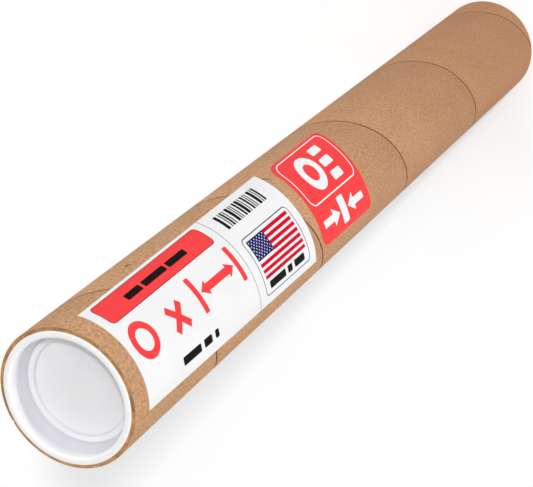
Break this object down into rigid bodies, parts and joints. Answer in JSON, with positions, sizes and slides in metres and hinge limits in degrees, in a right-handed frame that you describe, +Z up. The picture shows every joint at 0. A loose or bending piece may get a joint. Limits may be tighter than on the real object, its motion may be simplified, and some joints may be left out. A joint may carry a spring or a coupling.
{
  "type": "mailing tube",
  "caption": "Round spirally wound kraft board mailing tube with recessed plastic plug caps, a paper size label and a red grade label.",
  "frame": {"origin": "centre of the lower cap's flange face, on which the tube stands", "axes": "+Z up along the tube's axis, -Y through the middle of the labels"},
  "size_m": [0.0568, 0.057, 0.4817],
  "materials": {
    "kraft_board": "smooth uncoated kraft liner with fine fibre mottle and dark butt seams",
    "cap_plastic": "moulded translucent white polyethylene with a soft gloss",
    "label_paper": "smooth white label paper with printed red, black and navy shapes",
    "grade_paper": "smooth label paper printed red with white shapes"
  },
  "bodies": {
    "lower_cap": {"bottom_cap": "cap_plastic"},
    "tube": {"board_tube": "kraft_board", "size_label": "label_paper", "grade_label": "grade_paper"},
    "upper_cap": {"top_cap": "cap_plastic"}
  },
  "joints": [
    {"name": "tube_lift", "type": "slide", "parent": "lower_cap", "child": "tube", "axis": [0, 0, 1], "range_m": [0, 0.06]},
    {"name": "upper_cap_pull", "type": "slide", "parent": "tube", "child": "upper_cap", "axis": [0, 0, 1], "range_m": [0, 0.06]}
  ]
}
